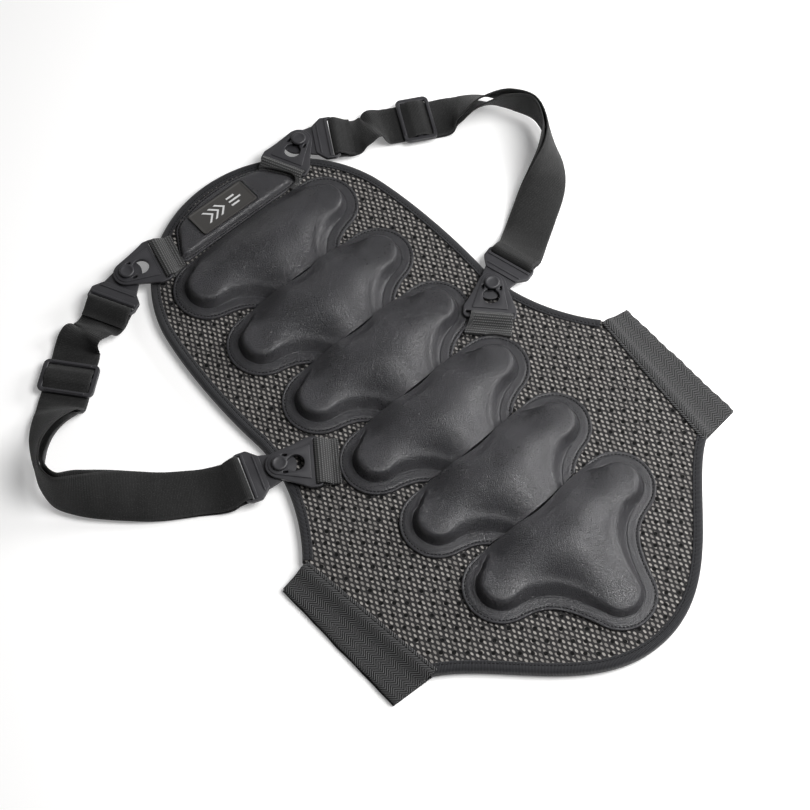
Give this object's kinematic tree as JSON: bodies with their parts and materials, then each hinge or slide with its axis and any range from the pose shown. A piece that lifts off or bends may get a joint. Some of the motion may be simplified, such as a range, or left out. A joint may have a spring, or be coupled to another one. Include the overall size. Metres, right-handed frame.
{
  "type": "back protector",
  "caption": "Padded mesh back panel with overlapping moulded spine plates, adjustable elastic shoulder straps on keyhole buckles and side tabs for a waist belt.",
  "frame": {"origin": "middle of the outline's width and of its height, on the lining face that lies on the wearer's back", "axes": "+Z away from the wearer's back, +Y towards the neck, +X towards the strap side with the longer arm loop"},
  "size_m": [0.532, 0.539, 0.0406],
  "materials": {
    "plate_leather": "grained coated leather, satin",
    "label": "moulded soft badge, matt",
    "foam": "closed cell foam",
    "spacer_mesh": "open spacer knit, black over a pale grey ground",
    "lining": "warp knit lining, matt",
    "binding_tape": "folded grosgrain tape, fine cross ribs",
    "belt_twill": "herringbone twill tape",
    "anchor_webbing": "coarse woven webbing",
    "elastic_webbing": "flat elastic webbing, fine ribs",
    "buckle_plastic": "satin moulded nylon"
  },
  "bodies": {
    "panel": {"back_lining": "lining", "foam_core": "foam", "mesh_panel": "spacer_mesh", "edge_binding_right": "binding_tape", "edge_binding_left": "binding_tape", "edge_binding_tail": "binding_tape", "belt_tab_upper_right": "belt_twill", "belt_tab_lower_right": "belt_twill", "belt_tab_upper_left": "belt_twill", "belt_tab_lower_left": "belt_twill", "spine_plate_1": "plate_leather", "plate_core_1": "foam", "spine_plate_2": "plate_leather", "plate_core_2": "foam", "spine_plate_3": "plate_leather", "plate_core_3": "foam", "spine_plate_4": "plate_leather", "plate_core_4": "foam", "spine_plate_5": "plate_leather", "plate_core_5": "foam", "spine_plate_6": "plate_leather", "plate_core_6": "foam", "neck_patch": "plate_leather", "neck_patch_core": "foam", "neck_label": "label", "anchor_webbing_upper_right": "anchor_webbing", "anchor_webbing_lower_right": "anchor_webbing", "anchor_webbing_upper_left": "anchor_webbing", "anchor_webbing_lower_left": "anchor_webbing"},
    "strap_right": {"keyhole_plate_upper_right": "buckle_plastic", "keyhole_plate_lower_right": "buckle_plastic", "strap_outer_right": "elastic_webbing", "strap_inner_right": "elastic_webbing", "strap_end_upper_right": "elastic_webbing", "strap_end_lower_right": "elastic_webbing"},
    "strap_left": {"keyhole_plate_upper_left": "buckle_plastic", "keyhole_plate_lower_left": "buckle_plastic", "strap_outer_left": "elastic_webbing", "strap_inner_left": "elastic_webbing", "strap_end_upper_left": "elastic_webbing", "strap_end_lower_left": "elastic_webbing"},
    "stud_upper_right": {"stud_plate_upper_right": "buckle_plastic"},
    "stud_lower_right": {"stud_plate_lower_right": "buckle_plastic"},
    "stud_upper_left": {"stud_plate_upper_left": "buckle_plastic"},
    "stud_lower_left": {"stud_plate_lower_left": "buckle_plastic"},
    "slider_right": {"slider_right": "buckle_plastic", "slider_wrap_right": "elastic_webbing"},
    "slider_left": {"slider_left": "buckle_plastic", "slider_wrap_left": "elastic_webbing"}
  },
  "joints": [
    {"name": "strap_swing_right", "type": "hinge", "parent": "panel", "child": "strap_right", "pos_m": [0.0598, 0.13, 0.0125], "axis": [0.1065, -0.9943, 0], "range_deg": [0, 95], "deforming": ["anchor_webbing_upper_right", "anchor_webbing_lower_right"]},
    {"name": "strap_swing_left", "type": "hinge", "parent": "panel", "child": "strap_left", "pos_m": [-0.073, 0.1257, 0.0125], "axis": [0.0662, 0.9978, 0], "range_deg": [0, 95], "deforming": ["anchor_webbing_upper_left", "anchor_webbing_lower_left"]},
    {"name": "stud_swivel_upper_right", "type": "hinge", "parent": "strap_right", "child": "stud_upper_right", "pos_m": [0.087, 0.2375, 0.0125], "axis": [0, 0, 1], "range_deg": [-5, 25], "deforming": ["strap_end_upper_right"]},
    {"name": "stud_swivel_lower_right", "type": "hinge", "parent": "strap_right", "child": "stud_lower_right", "pos_m": [0.1115, 0.0225, 0.0125], "axis": [0, 0, 1], "range_deg": [-25, 25], "deforming": ["strap_end_lower_right"]},
    {"name": "stud_swivel_upper_left", "type": "hinge", "parent": "strap_left", "child": "stud_upper_left", "pos_m": [-0.103, 0.228, 0.0125], "axis": [0, 0, 1], "range_deg": [-25, 25], "deforming": ["strap_end_upper_left"]},
    {"name": "stud_swivel_lower_left", "type": "hinge", "parent": "strap_left", "child": "stud_lower_left", "pos_m": [-0.1205, 0.012, 0.0125], "axis": [0, 0, 1], "range_deg": [-25, 25], "deforming": ["strap_end_lower_left"]},
    {"name": "slider_travel_right", "type": "slide", "parent": "strap_right", "child": "slider_right", "axis": [0.8746, -0.4848, 0], "range_m": [-0.007, 0.007]},
    {"name": "slider_travel_left", "type": "slide", "parent": "strap_left", "child": "slider_left", "axis": [-0.7771, -0.6293, 0], "range_m": [-0.007, 0.007]}
  ]
}
